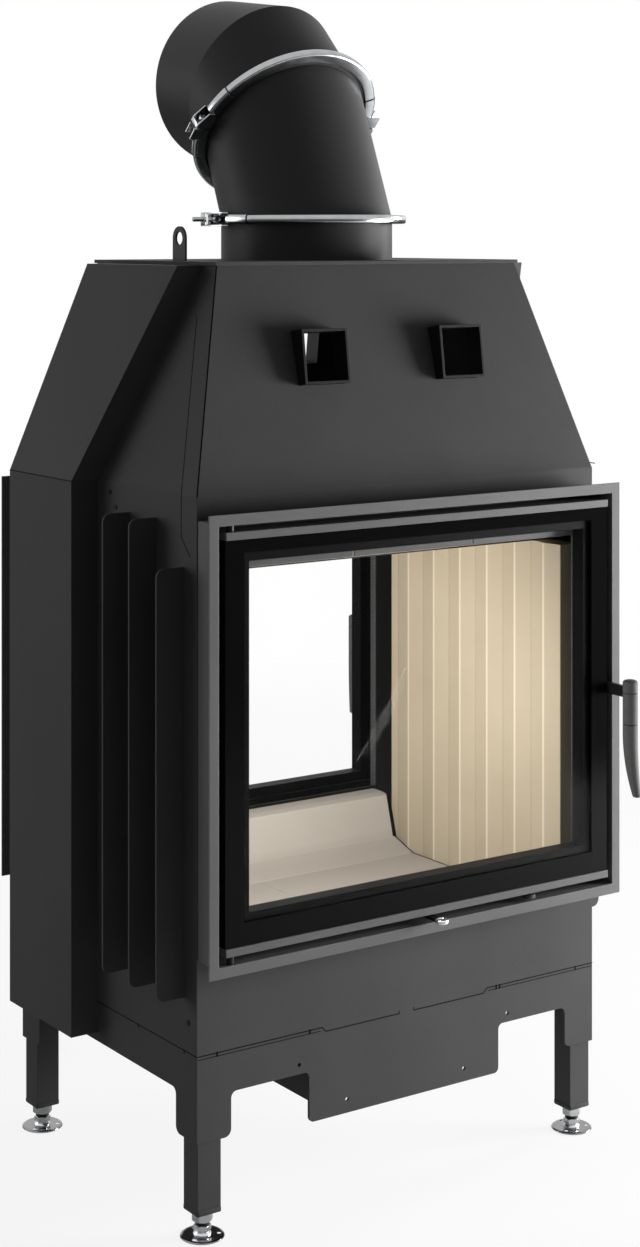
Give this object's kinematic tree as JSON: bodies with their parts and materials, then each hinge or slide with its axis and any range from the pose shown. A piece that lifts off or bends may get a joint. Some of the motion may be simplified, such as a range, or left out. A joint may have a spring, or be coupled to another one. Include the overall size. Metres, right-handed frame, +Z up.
{
  "type": "double-sided fireplace insert",
  "caption": "See-through wood-burning fireplace insert on levelling feet, a glazed door at front and back, tapered hood and a swivel flue elbow.",
  "frame": {"origin": "on the floor under the middle of the casing, which is the bottom centre of the bounding box", "axes": "+Z up, the front door faces -Y, +X is to the right of someone who faces the front door"},
  "size_m": [0.606, 0.565, 1.3298],
  "materials": {
    "casing_steel": "matt dark grey heat-proof paint",
    "surround_steel": "lighter grey heat-proof paint",
    "base_steel": "matt dark grey heat-proof paint",
    "flue_steel": "matt dark grey heat-proof paint",
    "black_steel": "satin black paint",
    "door_steel": "satin black paint",
    "rail_steel": "light grey satin paint",
    "strip_steel": "light grey satin paint",
    "door_glass": "clear glass ceramic with a printed black border",
    "seal_rope": "graphited glass rope",
    "ribbed_fireclay": "matt cream fireclay with fine specks",
    "floor_fireclay": "matt warm grey fireclay",
    "baffle_board": "pressed mineral board",
    "clamp_steel": "bright zinc",
    "grip_steel": "satin grey metal",
    "knob_chrome": "polished",
    "zinc_steel": "bright zinc"
  },
  "bodies": {
    "casing": {"front_panel": "casing_steel", "rear_panel": "casing_steel", "left_wall": "casing_steel", "right_wall": "casing_steel", "front_hood": "casing_steel", "rear_hood": "casing_steel", "left_hood": "casing_steel", "right_hood": "casing_steel", "top_plate": "casing_steel", "lifting_eye": "black_steel", "hood_nozzles": "black_steel", "side_ducts": "casing_steel", "side_fins": "casing_steel", "side_screws": "black_steel", "front_surround": "surround_steel", "rear_surround": "surround_steel", "latch_keepers": "zinc_steel", "base_frame": "base_steel", "air_box": "base_steel", "legs": "base_steel", "leg_nuts": "zinc_steel", "floor_plate": "black_steel", "floor_bricks": "floor_fireclay", "hearth_curbs": "floor_fireclay", "side_linings": "ribbed_fireclay", "baffle_rests": "black_steel", "baffle_boards": "baffle_board", "flue_stub": "flue_steel", "lower_clamp": "clamp_steel", "lower_clamp_bolt": "clamp_steel"},
    "front_door": {"front_door_frame": "door_steel", "front_door_glass": "door_glass", "front_door_rails": "rail_steel", "front_door_seal": "seal_rope", "front_glass_strips": "strip_steel", "front_hinge_pins": "zinc_steel", "front_handle_pivot": "zinc_steel"},
    "front_handle": {"front_handle_lever": "black_steel", "front_handle_grip": "grip_steel"},
    "rear_door": {"rear_door_frame": "door_steel", "rear_door_glass": "door_glass", "rear_door_rails": "rail_steel", "rear_door_seal": "seal_rope", "rear_glass_strips": "strip_steel", "rear_hinge_pins": "zinc_steel", "rear_handle_pivot": "zinc_steel"},
    "rear_handle": {"rear_handle_lever": "black_steel", "rear_handle_grip": "grip_steel"},
    "main_air": {"main_air_slide": "black_steel", "main_air_knob": "knob_chrome"},
    "second_air": {"second_air_slide": "black_steel", "second_air_knob": "knob_chrome"},
    "lower_flue": {"lower_elbow": "flue_steel", "upper_clamp": "clamp_steel", "upper_clamp_bolts": "clamp_steel"},
    "upper_flue": {"upper_elbow": "flue_steel"},
    "foot_front_left": {"foot_front_left": "zinc_steel"},
    "foot_front_right": {"foot_front_right": "zinc_steel"},
    "foot_rear_left": {"foot_rear_left": "zinc_steel"},
    "foot_rear_right": {"foot_rear_right": "zinc_steel"}
  },
  "joints": [
    {"name": "front_door_swing", "type": "hinge", "parent": "casing", "child": "front_door", "pos_m": [-0.25, -0.2275, 0.52], "axis": [0, 0, -1], "range_deg": [0, 100]},
    {"name": "rear_door_swing", "type": "hinge", "parent": "casing", "child": "rear_door", "pos_m": [-0.25, 0.2275, 0.52], "axis": [0, 0, 1], "range_deg": [0, 100]},
    {"name": "front_handle_lift", "type": "hinge", "parent": "front_door", "child": "front_handle", "pos_m": [0.2624, -0.2205, 0.522], "axis": [-1, 0, 0], "range_deg": [0, 35]},
    {"name": "rear_handle_lift", "type": "hinge", "parent": "rear_door", "child": "rear_handle", "pos_m": [0.2624, 0.2205, 0.522], "axis": [1, 0, 0], "range_deg": [0, 35]},
    {"name": "main_air_slide", "type": "slide", "parent": "casing", "child": "main_air", "axis": [1, 0, 0], "range_m": [-0.03, 0.03]},
    {"name": "second_air_slide", "type": "slide", "parent": "casing", "child": "second_air", "axis": [1, 0, 0], "range_m": [-0.03, 0.03]},
    {"name": "lower_flue_swivel", "type": "hinge", "parent": "casing", "child": "lower_flue", "pos_m": [0, 0, 1.0608], "axis": [0, 0, 1], "continuous": true},
    {"name": "upper_flue_swivel", "type": "hinge", "parent": "lower_flue", "child": "upper_flue", "pos_m": [0, 0.04657, 1.17304], "axis": [0, 0.7071, 0.7071], "continuous": true},
    {"name": "foot_front_left_height", "type": "slide", "parent": "casing", "child": "foot_front_left", "axis": [0, 0, -1], "range_m": [0, 0.016]},
    {"name": "foot_front_right_height", "type": "slide", "parent": "casing", "child": "foot_front_right", "axis": [0, 0, -1], "range_m": [0, 0.016]},
    {"name": "foot_rear_left_height", "type": "slide", "parent": "casing", "child": "foot_rear_left", "axis": [0, 0, -1], "range_m": [0, 0.016]},
    {"name": "foot_rear_right_height", "type": "slide", "parent": "casing", "child": "foot_rear_right", "axis": [0, 0, -1], "range_m": [0, 0.016]}
  ]
}
